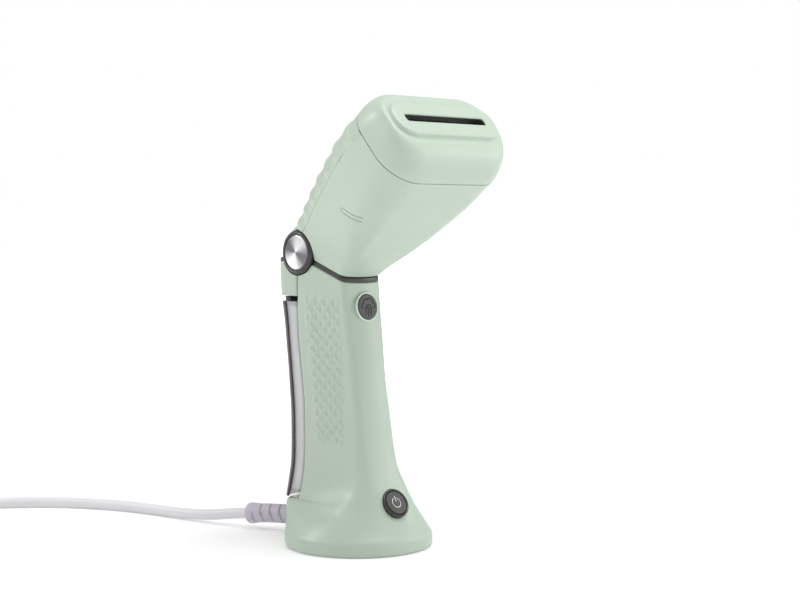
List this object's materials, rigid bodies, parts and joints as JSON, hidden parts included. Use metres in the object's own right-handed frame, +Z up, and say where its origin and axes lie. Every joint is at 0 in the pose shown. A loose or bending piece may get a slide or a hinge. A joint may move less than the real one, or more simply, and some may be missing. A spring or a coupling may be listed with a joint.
{
  "type": "garment steamer",
  "caption": "Hand-held garment steamer standing on its round base, with a folding steam head, rear water tank, trigger, power button and mains lead.",
  "frame": {"origin": "middle of the round base on the surface it stands on", "axes": "+Z up; the steam slot and both controls face -Y, the water tank and the mains lead are on the +Y side; X is across the handle and along the fold axis"},
  "size_m": [0.2815, 0.3717, 0.2665],
  "materials": {
    "green_shell": "fine satin moulded plastic, sage green",
    "light_green_trim": "satin moulded plastic, paler green",
    "dark_trim": "satin dark grey plastic",
    "dark_plastic": "plain dark moulded plastic",
    "clear_tank": "clear moulded plastic",
    "rubber_part": "plain moulded rubber",
    "pale_plastic": "plain pale moulded plastic",
    "steel": "plain bright steel",
    "brushed_cap": "spun brushed metal",
    "cast_aluminium": "as cast",
    "silicone_hose": "translucent silicone",
    "wire_cover": "insulated wires",
    "board": "circuit board with blocks for its parts",
    "brass_part": "plain brass",
    "plug_pins": "nickel plated pins",
    "lead_cover": "matte grey white cable cover"
  },
  "bodies": {
    "handle": {"handle_shell": "green_shell", "rear_top_cap": "green_shell", "neck_trim": "dark_trim", "rear_trim": "dark_trim", "power_bezel": "dark_trim", "hinge_ring_left": "dark_trim", "hinge_ring_right": "dark_trim", "chassis": "dark_plastic", "valve_seat": "dark_plastic", "trigger_switch": "dark_plastic", "power_switch": "dark_plastic", "base_plate": "dark_plastic", "cord_tie": "dark_plastic", "foot_pad": "rubber_part", "pump": "steel", "hinge_axle": "steel", "base_screws": "steel", "trigger_spring": "steel", "power_spring": "steel", "hinge_cap_left": "brushed_cap", "hinge_cap_right": "brushed_cap", "pump_hose": "silicone_hose", "lead_wires": "wire_cover", "trigger_bezel": "light_green_trim", "control_board": "board", "plug_pins": "plug_pins", "strain_relief": "lead_cover", "power_cord": "lead_cover", "cord_coil": "lead_cover", "cord_tail": "lead_cover", "plug_body": "lead_cover"},
    "head": {"head_knuckle": "dark_plastic", "head_shell": "green_shell", "head_rear_cover": "green_shell", "nozzle_cap": "green_shell", "steam_plate": "steel", "boiler": "cast_aluminium", "heating_element": "steel", "thermostat": "brass_part", "thermal_fuse": "pale_plastic", "steam_hose": "silicone_hose", "boiler_screws": "brass_part"},
    "tank": {"water_tank": "clear_tank", "tank_spine": "dark_trim", "tank_stopper": "rubber_part", "tank_valve": "pale_plastic", "tank_latch": "dark_trim"},
    "trigger": {"trigger_button": "dark_trim"},
    "power": {"power_button": "dark_trim"}
  },
  "joints": [
    {"name": "head_fold", "type": "hinge", "parent": "handle", "child": "head", "pos_m": [0, 0.0336, 0.1764], "axis": [-1, 0, 0], "range_deg": [0, 56]},
    {"name": "trigger_press", "type": "slide", "parent": "handle", "child": "trigger", "axis": [0, 0.9914, -0.1305], "range_m": [0, 0.0015], "stiffness_N_per_m": 900, "springref_m": -0.0006, "deforming": ["trigger_spring"]},
    {"name": "power_press", "type": "slide", "parent": "handle", "child": "power", "axis": [0, 0.848, -0.5299], "range_m": [0, 0.0012], "stiffness_N_per_m": 900, "springref_m": -0.0006, "deforming": ["power_spring"]},
    {"name": "tank_pull", "type": "slide", "parent": "handle", "child": "tank", "axis": [0, 1, 0], "range_m": [0, 0.04]}
  ]
}
